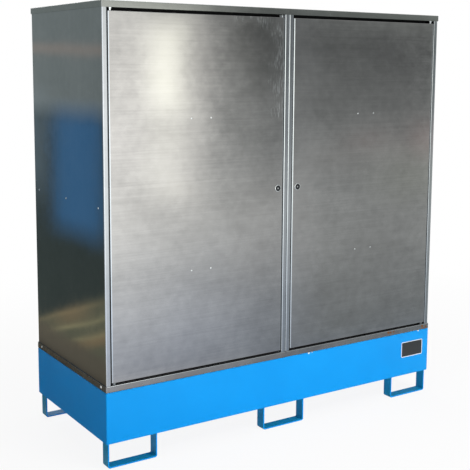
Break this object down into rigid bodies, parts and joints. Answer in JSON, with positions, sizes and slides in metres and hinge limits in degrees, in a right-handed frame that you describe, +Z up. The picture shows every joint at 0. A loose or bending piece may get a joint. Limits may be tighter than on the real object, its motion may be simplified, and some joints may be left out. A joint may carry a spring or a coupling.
{
  "type": "dangerous goods storage cabinet",
  "caption": "Free-standing sheet-steel cabinet with hinged lockable doors, shelf trays and gratings over a footed spill sump.",
  "frame": {"origin": "on the floor, under the middle of the cabinet's box", "axes": "+X to the right seen from the front, +Y to the back, +Z up"},
  "size_m": [1.78, 0.7435, 1.88],
  "materials": {
    "zinc": "galvanised sheet, fine spangle, satin",
    "roofZinc": "galvanised sheet, satin, slightly warmer",
    "innerZinc": "galvanised steel, dull",
    "blue": "bright blue powder coat, smooth",
    "footBlue": "blue powder coat on flat bar",
    "chrome": "bright plated steel",
    "darkSteel": "dark satin lock plug",
    "plate": "plain dark plate, bare"
  },
  "bodies": {
    "cabinet": {"sump_tray": "blue", "foot_front_left": "footBlue", "foot_front_middle": "footBlue", "foot_front_right": "footBlue", "foot_rear_left": "footBlue", "foot_rear_middle": "footBlue", "foot_rear_right": "footBlue", "grating_beam": "innerZinc", "grating_left": "innerZinc", "grating_ledge_left": "innerZinc", "base_frame_left": "roofZinc", "roof_cap_left": "roofZinc", "outer_panel_left": "zinc", "inner_panel_left": "zinc", "back_panel_left": "innerZinc", "header_left": "zinc", "sill_left": "zinc", "lower_pin_left": "chrome", "upper_pin_left": "chrome", "shelf_rail_outer_left": "innerZinc", "shelf_rail_inner_left": "innerZinc", "shelf_tray_left": "innerZinc", "grating_right": "innerZinc", "grating_ledge_right": "innerZinc", "base_frame_right": "roofZinc", "roof_cap_right": "roofZinc", "outer_panel_right": "zinc", "inner_panel_right": "zinc", "back_panel_right": "innerZinc", "header_right": "zinc", "sill_right": "zinc", "lower_pin_right": "chrome", "upper_pin_right": "chrome", "shelf_rail_outer_right": "innerZinc", "shelf_rail_inner_right": "innerZinc", "shelf_tray_right": "innerZinc", "sump_plate": "plate"},
    "left_door": {"door_left": "zinc", "door_stiffener_left": "innerZinc", "lock_housing_left": "chrome", "lock_nut_left": "innerZinc"},
    "left_lock": {"lock_plug_left": "darkSteel", "lock_cam_left": "innerZinc"},
    "right_door": {"door_right": "zinc", "door_stiffener_right": "innerZinc", "lock_housing_right": "chrome", "lock_nut_right": "innerZinc"},
    "right_lock": {"lock_plug_right": "darkSteel", "lock_cam_right": "innerZinc"}
  },
  "joints": [
    {"name": "left_door_hinge", "type": "hinge", "parent": "cabinet", "child": "left_door", "pos_m": [-0.848, -0.357, 1.1], "axis": [0, 0, -1], "range_deg": [0, 110]},
    {"name": "left_lock_turn", "type": "hinge", "parent": "left_door", "child": "left_lock", "pos_m": [-0.0533, -0.36, 1.10065], "axis": [0, -1, 0], "range_deg": [0, 90]},
    {"name": "right_door_hinge", "type": "hinge", "parent": "cabinet", "child": "right_door", "pos_m": [0.848, -0.357, 1.1], "axis": [0, 0, 1], "range_deg": [0, 110]},
    {"name": "right_lock_turn", "type": "hinge", "parent": "right_door", "child": "right_lock", "pos_m": [0.0533, -0.36, 1.10065], "axis": [0, 1, 0], "range_deg": [0, 90]}
  ]
}
